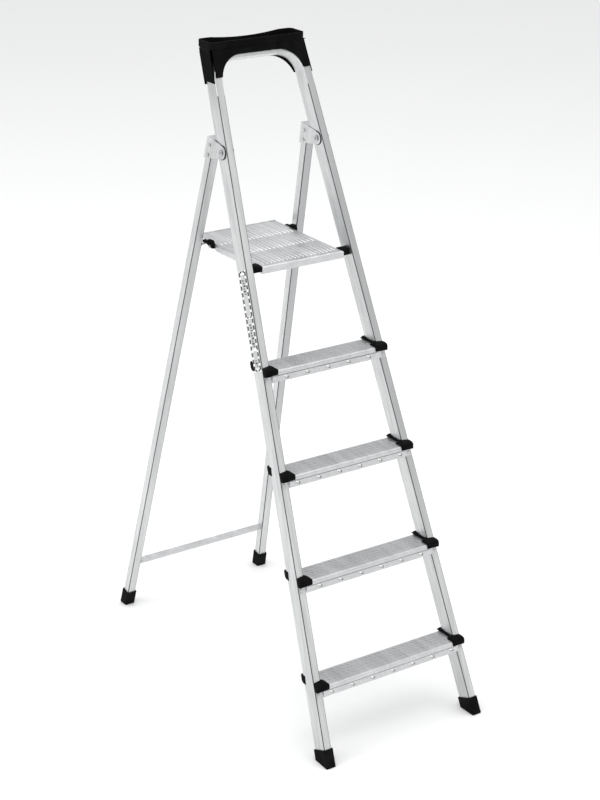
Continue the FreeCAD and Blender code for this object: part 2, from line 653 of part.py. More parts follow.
deck_rear = deck_front + DECK_DEPTH
skirt_rear = deck_front + SKIRT_LENGTH
deck = box(-DECK_HALF, DECK_HALF, deck_front, skirt_rear, DECK_TOP - DECK_SKIRT, DECK_TOP)
upper = [edge for edge in deck.Edges if edge.CenterOfMass.z > DECK_TOP - 0.1
         and edge.CenterOfMass.y < skirt_rear - 1.0]
deck = deck.makeFillet(4.0, upper)
hollow = box(-DECK_HALF + SHEET, DECK_HALF - SHEET, deck_front + SHEET, skirt_rear + 10.0,
             DECK_TOP - DECK_SKIRT - 10.0, DECK_TOP - SHEET)
upper = [edge for edge in hollow.Edges if edge.CenterOfMass.z > DECK_TOP - SHEET - 0.1
         and edge.CenterOfMass.y < skirt_rear + 9.0]
hollow = hollow.makeFillet(2.5, upper)
deck = deck.cut(hollow)
HEM = 5.0
HEM_RISE = 1.2
REAR_FLANGE = 11.0
plate_half = DECK_HALF - 1.2
rear_plate = box(-plate_half, plate_half, skirt_rear - 1.0, deck_rear, DECK_TOP - SHEET, DECK_TOP)
rear_flange = box(-plate_half, plate_half, deck_rear - SHEET, deck_rear, DECK_TOP - REAR_FLANGE, DECK_TOP)
hem = box(-plate_half, plate_half, deck_rear - HEM, deck_rear, DECK_TOP - SHEET, DECK_TOP + HEM_RISE)
deck = deck.fuse([rear_plate, rear_flange, hem])
pin_hole = rod_x(pin_y, pin_z, PIN_RADIUS + 0.08, -FAR, FAR)
CLIP_RIVET_BACK = 25.0
clip_rivet_y = rod_y - CLIP_RIVET_BACK
clip_rivet_z = DECK_TOP - 7.8
clip_rivet_hole = rod_x(clip_rivet_y, clip_rivet_z, RIVET_RADIUS + FIT, -FAR, FAR)
deck = deck.cut([rod_sweep(2.0, -FAR, FAR), pin_hole, clip_rivet_hole]).removeSplitter()
save("platform_deck", deck)

# Hooks on the side skirts that sit over the rod and stay open below and in front.
CLIP_WIDTH = 7.5
clip_outline = [
    (rod_y - 36.0, DECK_TOP - 11.0),
    (rod_y - 36.0, DECK_TOP + 2.0),
    (rod_y - 31.0, DECK_TOP + 8.0),
    (rod_y - 16.0, DECK_TOP + 7.5),
    (rod_y - 10.0, DECK_TOP + 1.5),
    (rod_y + 6.0, DECK_TOP + 1.5),
    (rod_y + 8.5, DECK_TOP - 1.0),
    (rod_y + 8.5, ROD_Z - 4.0),
    (rod_y + 5.6, ROD_Z - 4.5),
    (rod_y, ROD_Z),
]
clip_x = DECK_HALF + FIT
clip = prism_x(clip_outline, clip_x, clip_x + CLIP_WIDTH)
clip = clip.cut([rod_sweep(1.5, 0.0, FAR), clip_rivet_hole])
save_pair("platform_clip", max(clip.Solids, key=lambda solid: solid.Volume))
clip_rivet = rivet_x(clip_rivet_y, clip_rivet_z, RIVET_RADIUS, 3.6, 1.3,
                     DECK_HALF - SHEET - FIT, clip_x + CLIP_WIDTH + FIT)
save_pair("clip_rivet", clip_rivet)

# Hinge blocks fill the gap between the platform's front corners and the rails.
HINGE_GAP = 0.4
face_y = front_face_y(DECK_TOP)
block_side = [
    (deck_front + 1.0, DECK_TOP - 11.5),
    (deck_front + 1.0, DECK_TOP - 1.0),
    (deck_front + 3.0, DECK_TOP + 1.0),
    (deck_front + 12.0, DECK_TOP + 2.5),
    (deck_front + 28.0, DECK_TOP + 2.0),
    (deck_front + 34.0, DECK_TOP - 1.0),
    (deck_front + 34.0, DECK_TOP - 11.0),
    (deck_front + 28.0, DECK_TOP - 14.5),
    (deck_front + 8.0, DECK_TOP - 14.5),
]
# In plan the block's front runs slanting from the platform's corner back to the rail.
s_hinge = DECK_TOP / front_cos
rail_inner = rail_out(s_hinge) - rail_skew
block_plan = [
    (DECK_HALF + HINGE_GAP, deck_front),
    (DECK_HALF + HINGE_GAP + 4.0, deck_front),
    (rail_inner + 2.0, face_y + 7.0),
    (rail_inner + 2.0, face_y + 36.0),
    (DECK_HALF + HINGE_GAP, face_y + 36.0),
]
seen_from_above = prism_z(block_plan, DECK_TOP - 60.0, DECK_TOP + 60.0)
hinge_block = prism_x(block_side, DECK_HALF, FAR).common(seen_from_above).cut(rail_space)
pin_end = DECK_HALF + HINGE_GAP + 12.0
hinge_block = hinge_block.cut(rod_x(pin_y, pin_z, PIN_RADIUS + FIT, 0.0, pin_end + 0.2))
save_pair("platform_hinge_block", max(hinge_block.Solids, key=lambda solid: solid.Volume))
pin_head = rod_x(pin_y, pin_z, 5.5, DECK_HALF - SHEET - 0.3 - 2.0, DECK_HALF - SHEET - 0.3)
pin_head = pin_head.makeFillet(1.0, [pin_head.Edges[0]])
pin_shank = rod_x(pin_y, pin_z, PIN_RADIUS, DECK_HALF - SHEET - 1.0, pin_end)
save_pair("platform_hinge_pin", pin_shank.fuse(pin_head))

print("pivot", round(pivot_y, 3), PIVOT_Z, "pin", round(pin_y, 3), round(pin_z, 3), "rod", round(rod_y, 3))
print("front", round(FRONT_Y, 3), "rear", round(REAR_Y, 3), "tray", round(tray_front, 2), round(tray_rear, 2))
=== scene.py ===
# %% [markdown]
# # A folding platform step ladder
# The ladder's frame, treads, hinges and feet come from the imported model. This lesson lights it,
# gives each surface its finish, and adds the fine shapes that a factory presses and moulds:
# grip ribs on the treads, dimples under each nose, softened edges on the plastic, and a printed strip.

# %% Load the frame
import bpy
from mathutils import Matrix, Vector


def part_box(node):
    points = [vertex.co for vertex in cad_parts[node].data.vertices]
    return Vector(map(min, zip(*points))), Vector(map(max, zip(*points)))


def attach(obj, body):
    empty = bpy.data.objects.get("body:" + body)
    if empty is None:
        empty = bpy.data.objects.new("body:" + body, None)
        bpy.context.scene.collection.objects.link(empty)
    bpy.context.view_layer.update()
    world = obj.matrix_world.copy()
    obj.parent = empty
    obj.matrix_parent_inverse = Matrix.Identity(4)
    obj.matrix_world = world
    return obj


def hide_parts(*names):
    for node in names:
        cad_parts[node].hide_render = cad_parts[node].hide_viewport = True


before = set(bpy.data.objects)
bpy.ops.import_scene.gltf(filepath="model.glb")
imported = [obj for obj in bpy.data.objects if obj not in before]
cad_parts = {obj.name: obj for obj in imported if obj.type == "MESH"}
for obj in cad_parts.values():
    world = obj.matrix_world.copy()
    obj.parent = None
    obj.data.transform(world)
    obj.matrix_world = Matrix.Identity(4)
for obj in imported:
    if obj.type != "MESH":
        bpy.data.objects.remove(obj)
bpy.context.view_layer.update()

# %% Modules and units
import math
import bpy
from mathutils import Matrix, Vector

MM = 0.001

# %% [markdown]
# ## The camera
# The ladder is seen from the front left, a little above its top, through a long lens, so that its
# rails stay nearly parallel. A camera can be aimed by a constraint or by an angle for each axis.
# Here three plain angles turn it, because they are easy to read and to change.

# %% Place the camera
CAMERA_PLACE = Vector((-2.4452, -3.5436, 2.4651))
CAMERA_HEADING = math.radians(34.77)
CAMERA_TILT = math.radians(-22.24)
CAMERA_ROLL = math.radians(0.95)
CAMERA_LENS = 86.4

camera_data = bpy.data.cameras.new("ladder_camera")
camera_data.lens = CAMERA_LENS
camera_data.sensor_width = 36.0
camera = bpy.data.objects.new("ladder_camera", camera_data)
bpy.context.scene.collection.objects.link(camera)
aim = Matrix.Rotation(-CAMERA_HEADING, 4, "Z") @ Matrix.Rotation(math.pi / 2 + CAMERA_TILT, 4, "X")
camera.matrix_world = Matrix.Translation(CAMERA_PLACE) @ aim @ Matrix.Rotation(CAMERA_ROLL, 4, "Z")
bpy.context.scene.camera = camera
print("camera looks along", [round(v, 3) for v in camera.matrix_world.to_3x3() @ Vector((0, 0, -1))])

# %% [markdown]
# ## Floor and light
# A pale floor runs far past the ladder, so the view shows nothing else. Satin steel shows what it
# reflects. The air round the ladder is therefore white in front and greyer behind, so that the tread
# tops, which mirror what is behind them, come out darker than the upright faces. Two large soft lamps
# stand for a studio's light boxes. The plain Standard view keeps the whites white.

# %% Lay the floor
FLOOR_SIZE = 60.0
FLOOR_TONE = (0.90, 0.90, 0.90, 1)
bpy.ops.object.select_all(action="DESELECT")
bpy.ops.mesh.primitive_plane_add(size=FLOOR_SIZE, location=(0, 0, 0))
floor = bpy.context.active_object
floor.name = "studio_floor"
floor_paint = bpy.data.materials.new("floor_paint")
floor_paint.use_nodes = True
floor_shader = floor_paint.node_tree.nodes["Principled BSDF"]
floor_shader.inputs["Base Color"].default_value = FLOOR_TONE
floor_shader.inputs["Roughness"].default_value = 0.9
floor_shader.inputs["Specular IOR Level"].default_value = 0.1
floor.data.materials.append(floor_paint)
print("floor is", FLOOR_SIZE, "m wide")


# %% Hang the light boxes
def light_box(name, place, target, width, height, power):
    lamp_data = bpy.data.lights.new(name, "AREA")
    lamp_data.shape = "RECTANGLE"
    lamp_data.size = width
    lamp_data.size_y = height
    lamp_data.energy = power
    lamp = bpy.data.objects.new(name, lamp_data)
    bpy.context.scene.collection.objects.link(lamp)
    facing = (Vector(target) - Vector(place)).to_track_quat("-Z", "Y")
    lamp.matrix_world = Matrix.Translation(place) @ facing.to_matrix().to_4x4()
    print(name, "gives", power, "W")


MIDDLE = (0.0, 0.0, 0.8)
light_box("top_box", (0.0, 0.0, 5.5), MIDDLE, 6.0, 6.0, 150)
light_box("left_box", (-4.6, 1.0, 2.6), MIDDLE, 3.6, 3.6, 70)
bpy.context.scene.view_settings.view_transform = "Standard"

# %% Fill the air with soft light
AIR_IN_FRONT = (1.0, 1.0, 1.0, 1)
AIR_BEHIND = (0.68, 0.69, 0.70, 1)
world = bpy.data.worlds.new("studio_air")
world.use_nodes = True
air = world.node_tree
heading = air.nodes.new("ShaderNodeTexCoord")
split = air.nodes.new("ShaderNodeSeparateXYZ")
air.links.new(heading.outputs["Generated"], split.inputs["Vector"])
fade = air.nodes.new("ShaderNodeMapRange")
fade.inputs["From Min"].default_value = -0.3
fade.inputs["From Max"].default_value = 0.6
air.links.new(split.outputs["Y"], fade.inputs["Value"])
tone = air.nodes.new("ShaderNodeMix")
tone.data_type = "RGBA"
tone.inputs[6].default_value = AIR_IN_FRONT
tone.inputs[7].default_value = AIR_BEHIND
air.links.new(fade.outputs["Result"], tone.inputs[0])
air.links.new(tone.outputs[2], air.nodes["Background"].inputs["Color"])
air.nodes["Background"].inputs["Strength"].default_value = 1.0
bpy.context.scene.world = world
print("air is white in front and grey behind")


# %% [markdown]
# ## Working by hand in code
# Blender's operators act on what is selected. These helpers clear the selection, take hold of one
# piece, and pick its corners by their place, so each later step reads as it would be done by hand.

# %% Selection helpers
def hold(piece):
    """Leave only this piece selected and active, in object mode."""
    if bpy.context.mode != "OBJECT":
        bpy.ops.object.mode_set(mode="OBJECT")
    bpy.ops.object.select_all(action="DESELECT")
    piece.hide_set(False)
    piece.select_set(True)
    bpy.context.view_layer.objects.active = piece


def pick(piece, rule):
    """Open the piece in edit mode with the corners selected whose place meets the rule."""
    hold(piece)
    bpy.ops.object.mode_set(mode="EDIT")
    bpy.ops.mesh.select_mode(type="VERT")
    bpy.ops.mesh.select_all(action="DESELECT")
    bpy.ops.object.mode_set(mode="OBJECT")
    for corner in piece.data.vertices:
        corner.select = bool(rule(corner.co))
    bpy.ops.object.mode_set(mode="EDIT")


def finish_modifier(piece, kind, **settings):
    """Add one modifier, give it its settings and apply it."""
    hold(piece)
    step = piece.modifiers.new(kind.lower(), kind)
    for name, value in settings.items():
        setattr(step, name, value)
    bpy.ops.object.modifier_apply(modifier=step.name)


def put_in_place(piece, matrix):
    """Move the piece and then write its place into its mesh."""
    hold(piece)
    piece.matrix_world = matrix
    bpy.ops.object.transform_apply(location=True, rotation=True, scale=True)


def join_all(pieces, name):
    """Join several meshes into one piece."""
    hold(pieces[0])
    for other in pieces[1:]:
        other.select_set(True)
    bpy.ops.object.join()
    pieces[0].name = name
    return pieces[0]


def smooth(piece, degrees=35):
    hold(piece)
    bpy.ops.object.shade_smooth_by_angle(angle=math.radians(degrees))


print("helpers ready")

# %% [markdown]
# ## Finishes as node groups
# Several finishes share an effect: the drawn grain of a steel tube, the fine grain of a mould, the
# wear and dust that gather on a used thing. Each effect is built once as a node group with named
# sockets and then placed in every material that needs it, with its own values.


# %% Start a group
def start_group(name, inputs, outputs):
    """A shader node group with number sockets in and the named sockets out."""
    group = bpy.data.node_groups.new(name, "ShaderNodeTree")
    for label, value in inputs.items():
        socket = group.interface.new_socket(label, in_out="INPUT", socket_type="NodeSocketFloat")
        socket.default_value = value
    for label in outputs:
        group.interface.new_socket(label, in_out="OUTPUT", socket_type="NodeSocketFloat")
    start = group.nodes.new("NodeGroupInput")
    end = group.nodes.new("NodeGroupOutput")
    return group, start, end


def math_node(tree, operation, first, second=None, clamp=False):
    """A Math node fed by sockets or plain numbers."""
    node = tree.nodes.new("ShaderNodeMath")
    node.operation = operation
    node.use_clamp = clamp
    for slot_number, value in enumerate((first, second)):
        if value is None:
            continue
        if isinstance(value, (int, float)):
            node.inputs[slot_number].default_value = value
        else:
            tree.links.new(value, node.inputs[slot_number])
    return node.outputs[0]


def noise_node(tree, vector, scale, detail=3.0, roughness=0.5):
    node = tree.nodes.new("ShaderNodeTexNoise")
    node.inputs["Detail"].default_value = detail
    node.inputs["Roughness"].default_value = roughness
    if isinstance(scale, (int, float)):
        node.inputs["Scale"].default_value = scale
    else:
        tree.links.new(scale, node.inputs["Scale"])
    tree.links.new(vector, node.inputs["Vector"])
    return node.outputs["Fac"]


def band(tree, value, low, high):
    """A value that climbs smoothly from 0 at low to 1 at high."""
    node = tree.nodes.new("ShaderNodeMapRange")
    node.interpolation_type = "SMOOTHSTEP"
    node.inputs["From Min"].default_value = low
    node.inputs["From Max"].default_value = high
    tree.links.new(value, node.inputs["Value"])
    return node.outputs["Result"]


def turned_place(tree, lean, stretch):
    """Object coordinates turned by lean about X and stretched, so a grain follows a leaning tube."""
    place = tree.nodes.new("ShaderNodeTexCoord")
    turn = tree.nodes.new("ShaderNodeMapping")
    turn.inputs["Rotation"].default_value = (lean, 0, 0)
    tree.links.new(place.outputs["Object"], turn.inputs["Vector"])
    spread = tree.nodes.new("ShaderNodeMapping")
    spread.inputs["Scale"].default_value = stretch
    tree.links.new(turn.outputs["Vector"], spread.inputs["Vector"])
    return spread.outputs["Vector"]


print("group helpers ready")


# %% Drawn grain along a leaning tube
def drawn_grain(name, lean):
    """Long fine streaks along a tube, with a cloudy change of tone on top."""
    group, start, end = start_group(name, {"Fineness": 260.0}, ("Streak", "Cloud"))
    along = turned_place(group, lean, (1.0, 1.0, 0.012))
    streak = noise_node(group, along, start.outputs["Fineness"], 4.0, 0.6)
    group.links.new(band(group, streak, 0.32, 0.68), end.inputs["Streak"])
    cloud_place = turned_place(group, lean, (1.0, 1.0, 0.12))
    cloud = noise_node(group, cloud_place, 38.0, 3.0, 0.55)
    group.links.new(band(group, cloud, 0.35, 0.68), end.inputs["Cloud"])
    return group


RAIL_LEAN = math.atan(0.4292)
LEG_LEAN = math.atan(0.2416)
grain_of_rails = drawn_grain("DrawnGrainRails", RAIL_LEAN)
grain_of_legs = drawn_grain("DrawnGrainLegs", -LEG_LEAN)
grain_across = drawn_grain("RolledGrain", math.pi / 2)
print("grain groups:", grain_of_rails.name, grain_of_legs.name, grain_across.name)


# %% Painted dark reflection in the tubes' rounded corners
def painted_corner_shade():
    """Masks for drawn tubes: painted dark reflection where side turns to front, and painted shade on the
    right-hand front.
    """
    group, start, end = start_group("PaintedCornerShade", {"Low": 0.10, "High": 0.985, "Fade Height": 1.44},
                                    ("Corner", "Painted Front Shade"))
    place = group.nodes.new("ShaderNodeTexCoord")
    turned = group.nodes.new("ShaderNodeSeparateXYZ")
    group.links.new(place.outputs["Normal"], turned.inputs["Vector"])
    spot = group.nodes.new("ShaderNodeSeparateXYZ")
    group.links.new(place.outputs["Object"], spot.inputs["Vector"])
    # Painted dark reflection: faces in the rounded corners, turning between side and front, are marked
    # below Fade Height.
    side = math_node(group, "ABSOLUTE", turned.outputs["X"])
    above = math_node(group, "GREATER_THAN", side, start.outputs["Low"])
    below = math_node(group, "LESS_THAN", side, start.outputs["High"])
    under_cap = math_node(group, "LESS_THAN", spot.outputs["Z"], start.outputs["Fade Height"])
    corner = math_node(group, "MULTIPLY", above, below)
    group.links.new(math_node(group, "MULTIPLY", corner, under_cap), end.inputs["Corner"])
    # Painted shade: faces turned to the front on the right-hand side darken, rising from 0.15 m to 0.75
    # m high.
    front = math_node(group, "LESS_THAN", turned.outputs["Y"], -0.6)
    right = math_node(group, "MULTIPLY", front, band(group, spot.outputs["X"], -0.25, 0.15))
    upper = band(group, spot.outputs["Z"], 0.15, 0.75)
    group.links.new(math_node(group, "MULTIPLY", right, upper), end.inputs["Painted Front Shade"])
    return group


corner_shade_group = painted_corner_shade()
print("corner mask group:", corner_shade_group.name)


# %% Dust and fine pitting
def shop_wear():
    """Small dull specks and soft smudges that a handled thing picks up."""
    group, start, end = start_group("ShopWear", {"Speck Scale": 420.0, "Smudge Scale": 14.0},
                                    ("Speck", "Smudge"))
    place = group.nodes.new("ShaderNodeTexCoord")
    speck = noise_node(group, place.outputs["Object"], start.outputs["Speck Scale"], 2.0, 0.5)
    group.links.new(band(group, speck, 0.60, 0.76), end.inputs["Speck"])
    smudge = noise_node(group, place.outputs["Object"], start.outputs["Smudge Scale"], 4.0, 0.6)
    group.links.new(band(group, smudge, 0.42, 0.72), end.inputs["Smudge"])
    return group


wear_group = shop_wear()
print("wear group:", wear_group.name)


# %% Fine grain of a mould
def mould_grain():
    """The pebbled texture that an etched mould leaves on plastic or rubber."""
    group, start, end = start_group("MouldGrain", {"Size": 900.0}, ("Height", "Tone"))
    place = group.nodes.new("ShaderNodeTexCoord")
    cells = group.nodes.new("ShaderNodeTexVoronoi")
    group.links.new(place.outputs["Object"], cells.inputs["Vector"])
    group.links.new(start.outputs["Size"], cells.inputs["Scale"])
    group.links.new(cells.outputs["Distance"], end.inputs["Height"])
    tone = noise_node(group, place.outputs["Object"], 30.0, 3.0, 0.5)
    group.links.new(band(group, tone, 0.35, 0.7), end.inputs["Tone"])
    return group


grain_of_mould = mould_grain()
print("mould group:", grain_of_mould.name)

# %% [markdown]
# ## Materials
# Each material keeps its own shader and places the shared groups round it. A ramp turns a mask into
# two close tones, a Map Range turns it into a roughness, and a Bump node gives the finest relief.


# %% Material helpers
def new_finish(name):
    finish = bpy.data.materials.new(name)
    finish.use_nodes = True
    return finish, finish.node_tree, finish.node_tree.nodes["Principled BSDF"]


def place_group(tree, group, **values):
    node = tree.nodes.new("ShaderNodeGroup")
    node.node_tree = group
    for label, value in values.items():
        node.inputs[label.replace("_", " ")].default_value = value
    return node


def two_tones(tree, mask, dark, light):
    mix = tree.nodes.new("ShaderNodeMix")
    mix.data_type = "RGBA"
    for socket, tone in ((mix.inputs[6], dark), (mix.inputs[7], light)):
        if isinstance(tone, tuple):
            socket.default_value = (*tone, 1)
        else:
            tree.links.new(tone, socket)
    tree.links.new(mask, mix.inputs[0])
    return mix.outputs[2]


def between(tree, mask, low, high):
    node = tree.nodes.new("ShaderNodeMapRange")
    node.inputs["To Min"].default_value = low
    node.inputs["To Max"].default_value = high
    tree.links.new(mask, node.inputs["Value"])
    return node.outputs["Result"]


def relief(tree, shader, height, distance, strength=0.5):
    bump = tree.nodes.new("ShaderNodeBump")
    bump.inputs["Strength"].default_value = strength
    bump.inputs["Distance"].default_value = distance
    tree.links.new(height, bump.inputs["Height"])
    tree.links.new(bump.outputs["Normal"], shader.inputs["Normal"])


print("material helpers ready")


# %% Satin steel
STREAK_SHARE = 0.55
SPECK_SHARE = 0.25
SPECK_DARKENING = 0.72
# Painted shade on the right-hand front faces of rails and legs: its share and tone.
FRONT_SHADE_SHARE = 0.75
FRONT_SHADE_TONE = (0.40, 0.405, 0.41)
# Painted dark reflection in the tubes' rounded corners: its share and tone.
CORNER_SHADE_SHARE = 0.92
CORNER_SHADE_TONE = (0.05, 0.052, 0.055)


def satin_steel(name, grain_group, light, dark, corner=True, metal=0.85, rough=(0.30, 0.46)):
    """Light satin steel: long streaks, cloudy tone, dull specks and, on tubes, a painted dark reflection
    in the corners and painted shade on right-hand fronts.
    """
    finish, tree, shader = new_finish(name)
    grain = place_group(tree, grain_group)
    wear = place_group(tree, wear_group)
    streaks = math_node(tree, "MULTIPLY", grain.outputs["Streak"], STREAK_SHARE)
    clouds = math_node(tree, "MULTIPLY", grain.outputs["Cloud"], 1.0 - STREAK_SHARE)
    tone = two_tones(tree, math_node(tree, "ADD", streaks, clouds, clamp=True), dark, light)
    speck = math_node(tree, "MULTIPLY", wear.outputs["Speck"], SPECK_SHARE)
    tone = two_tones(tree, speck, tone, tuple(channel * SPECK_DARKENING for channel in dark))
    if corner:
        corners = place_group(tree, corner_shade_group)
        # Painted shade on the right-hand front faces.
        dull = math_node(tree, "MULTIPLY", corners.outputs["Painted Front Shade"], FRONT_SHADE_SHARE)
        tone = two_tones(tree, dull, tone, FRONT_SHADE_TONE)
        # Painted dark reflection in the rounded corners, laid on last.
        shade = math_node(tree, "MULTIPLY", corners.outputs["Corner"], CORNER_SHADE_SHARE)
        tone = two_tones(tree, shade, tone, CORNER_SHADE_TONE)
    tree.links.new(tone, shader.inputs["Base Color"])
    tree.links.new(between(tree, grain.outputs["Cloud"], *rough), shader.inputs["Roughness"])
    shader.inputs["Metallic"].default_value = metal
    relief(tree, shader, grain.outputs["Streak"], 0.00006, 0.35)
    return finish


def sheet_finish(name, light, dark, **settings):
    """A steel without the tubes' painted corner reflection and front shade, its grain running across the
    ladder.
    """
    return satin_steel(name, grain_across, light, dark, corner=False, **settings)


rail_steel = satin_steel("rail_steel", grain_of_rails, (0.71, 0.72, 0.72), (0.50, 0.51, 0.51))
leg_steel = satin_steel("leg_steel", grain_of_legs, (0.72, 0.73, 0.73), (0.53, 0.54, 0.54))
sheet_steel = sheet_finish("sheet_steel", (0.66, 0.665, 0.67), (0.50, 0.505, 0.51))
deck_steel = sheet_finish("deck_steel", (0.72, 0.725, 0.73), (0.56, 0.565, 0.57))
# Pale steel that paints a highlight: the bumps of the dimples and the crests of the platform ribs.
highlight_steel = sheet_finish("highlight_steel", (0.92, 0.92, 0.92), (0.80, 0.80, 0.80), rough=(0.22, 0.34))
# A darker copy of the sheet steel for the tread ribs: painted shade on the ribs.
shaded_rib_steel = sheet_finish("shaded_rib_steel", (0.42, 0.425, 0.43), (0.30, 0.305, 0.31), rough=(0.26, 0.38))
# Dark steel that paints shadow: the line under each tread's nose and the patch beside each dimple.
shadow_steel = sheet_finish("shadow_steel", (0.22, 0.22, 0.22), (0.12, 0.12, 0.12),
                          metal=0.5, rough=(0.5, 0.7))
rivet_steel = sheet_finish("rivet_steel", (0.62, 0.62, 0.62), (0.42, 0.42, 0.43),
                           metal=1.0, rough=(0.24, 0.36))
print("steels:", rail_steel.name, leg_steel.name, sheet_steel.name, deck_steel.name, highlight_steel.name,
      shaded_rib_steel.name, shadow_steel.name, rivet_steel.name)


# %% Black plastic and rubber
def black_moulding(name, deep, pale, rough, grain_size, shine):
    """Black moulded material: pebbled grain, faint smudges and a dull speck here and there."""
    finish, tree, shader = new_finish(name)
    grain = place_group(tree, grain_of_mould, Size=grain_size)
    wear = place_group(tree, wear_group, Speck_Scale=300.0, Smudge_Scale=22.0)
    tone = two_tones(tree, grain.outputs["Tone"], deep, pale)
    dust = math_node(tree, "MULTIPLY", wear.outputs["Speck"], 0.08)
    tone = two_tones(tree, dust, tone, (0.05, 0.05, 0.05))
    tree.links.new(tone, shader.inputs["Base Color"])
    tree.links.new(between(tree, wear.outputs["Smudge"], *rough), shader.inputs["Roughness"])
    shader.inputs["Specular IOR Level"].default_value = shine
    relief(tree, shader, grain.outputs["Height"], 0.00012, 0.4)
    return finish


black_plastic = black_moulding("black_plastic", (0.003, 0.003, 0.0034), (0.0055, 0.0055, 0.006),
                               (0.50, 0.66), 900.0, 0.03)
black_rubber = black_moulding("black_rubber", (0.004, 0.004, 0.004), (0.008, 0.008, 0.008),
                              (0.70, 0.85), 600.0, 0.04)
print("mouldings:", black_plastic.name, black_rubber.name)

# %% [markdown]
# ## Soft edges on the carried-over parts
# A moulded cap never has a knife edge. The CAD model keeps its edges sharp, so each plastic part is
# copied here, its loose triangles are merged, and a narrow bevel rounds the edges before the copy
# takes the CAD node's place. Sculpting would also do it, but a bevel keeps every face where it is.


# %% Copy a node with soft edges
SHARP_EDGE = math.radians(32)
FLAT_ANGLE = math.radians(1.0)
MERGE_REACH = 0.02 * MM


def softened(node, width, body, finish):
    """A copy of a CAD node with rounded edges that stands for the node."""
    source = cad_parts[node]
    hold(source)
    bpy.ops.object.duplicate()
    piece = bpy.context.active_object
    world_place = piece.matrix_world.copy()
    piece.parent = None
    piece.matrix_world = world_place
    piece.name = node + "_soft"
    hold(piece)
    bpy.ops.object.transform_apply(location=True, rotation=True, scale=True)
    bpy.ops.object.mode_set(mode="EDIT")
    bpy.ops.mesh.select_all(action="SELECT")
    bpy.ops.mesh.remove_doubles(threshold=MERGE_REACH)
    bpy.ops.mesh.dissolve_limited(angle_limit=FLAT_ANGLE)
    bpy.ops.object.mode_set(mode="OBJECT")
    finish_modifier(piece, "BEVEL", width=width, segments=2, limit_method="ANGLE",
                    angle_limit=SHARP_EDGE, use_clamp_overlap=True)
    piece.data.materials.clear()
    piece.data.materials.append(finish)
    smooth(piece, 40)
    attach(piece, body)
    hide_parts(node)
    return piece


PLASTIC_EDGE = 0.9 * MM
sides = ("left", "right")
plastic_nodes = {"tool_tray_cap": "front_frame"}
for side in sides:
    plastic_nodes["platform_hinge_block_" + side] = "front_frame"
    plastic_nodes["platform_clip_" + side] = "platform"
    for number in range(1, 5):
        plastic_nodes["tread_cap_%s_%d" % (side, number)] = "front_frame"
for node, body in plastic_nodes.items():
    softened(node, PLASTIC_EDGE, body, black_plastic)
print("softened", len(plastic_nodes), "plastic parts")

# %% Soft edges on the rubber feet
RUBBER_EDGE = 1.2 * MM
for side in sides:
    softened("front_foot_" + side, RUBBER_EDGE, "front_frame", black_rubber)
    softened("rear_foot_" + side, RUBBER_EDGE, "rear_frame", black_rubber)
print("softened the rubber feet")

# %% [markdown]
# ## Finishes on the nodes that stay
# The tubes, the pressed sheets, the rivets and the washers already have the right shape, so they
# keep their meshes and only take a finish.

# %% Give each remaining node its finish
finish_of = {"front_frame_tube": rail_steel, "platform_deck": deck_steel, "rear_crossbar": sheet_steel,
             "platform_rod": rivet_steel, "tread_rivets": rivet_steel, "tray_screws": black_plastic,
             "crossbar_rivets": rivet_steel}
for number in range(1, 5):
    finish_of["tread_%d" % number] = sheet_steel
for side in sides:
    finish_of["rear_leg_" + side] = leg_steel
    finish_of["hinge_bracket_" + side] = leg_steel
    for stem in ("bracket_rivets_", "pivot_rivet_", "clip_rivet_", "platform_hinge_pin_"):
        finish_of[stem + side] = rivet_steel
    for stem in ("rod_bush_", "pivot_washer_outer_", "pivot_washer_inner_"):
        finish_of[stem + side] = black_plastic
for node, finish in finish_of.items():
    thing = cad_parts[node]
    for material_slot in thing.material_slots:
        material_slot.material = finish
print("finished", len(finish_of), "nodes")

# %% [markdown]
# ## Grip ribs
# Each tread is pressed with rows of short slanting ribs, and the platform with three bands of long
# ones. One rib is half a capsule: a sphere pulled apart at its middle and cut flat underneath.
# Arrays lay it out, which is how a press tool repeats one punch.


# %% Make one rib
def rib(length, width, rise, turn):
    """Half a capsule, its flat side down at z = 0, turned about Z."""
    bpy.ops.object.select_all(action="DESELECT")
    bpy.ops.mesh.primitive_uv_sphere_add(segments=12, ring_count=8, radius=1.0, location=(0, 0, 0))
    piece = bpy.context.active_object
    hold(piece)
    bpy.ops.object.mode_set(mode="EDIT")
    bpy.ops.mesh.select_all(action="SELECT")
    bpy.ops.transform.resize(value=(width / 2, width / 2, rise))
    bpy.ops.mesh.bisect(plane_co=(0, 0, -rise * 0.3), plane_no=(0, 0, 1), clear_inner=True,
                        use_fill=True)
    reach = (length - width) / 2
    for direction in (-1, 1):
        pick(piece, lambda place: place.y * direction > width * 0.01)
        bpy.ops.transform.translate(value=(0, direction * reach, 0))
    bpy.ops.object.mode_set(mode="OBJECT")
    put_in_place(piece, Matrix.Rotation(turn, 4, "Z"))
    return piece


def rib_field(name, one, columns, column_pitch, rows, row_pitch):
    """The rib repeated over a grid that is centred on the origin."""
    finish_modifier(one, "ARRAY", count=columns, use_relative_offset=False, use_constant_offset=True,
                    constant_offset_displace=(column_pitch, 0, 0))
    finish_modifier(one, "ARRAY", count=rows, use_relative_offset=False, use_constant_offset=True,
                    constant_offset_displace=(0, row_pitch, 0))
    shift = Vector((-(columns - 1) * column_pitch / 2, -(rows - 1) * row_pitch / 2, 0))
    put_in_place(one, Matrix.Translation(shift))
    one.name = name
    return one


print("rib helpers ready")

# %% Slanting ribs on the tread tops
TREAD_RIB = (10.5 * MM, 3.0 * MM, 0.8 * MM)
RIB_TURN = math.radians(55)
RIB_PITCH = 13.6 * MM
ROW_PITCH = 11.4 * MM
EAR_REACH = 20 * MM
NOSE_STRIP = 9 * MM


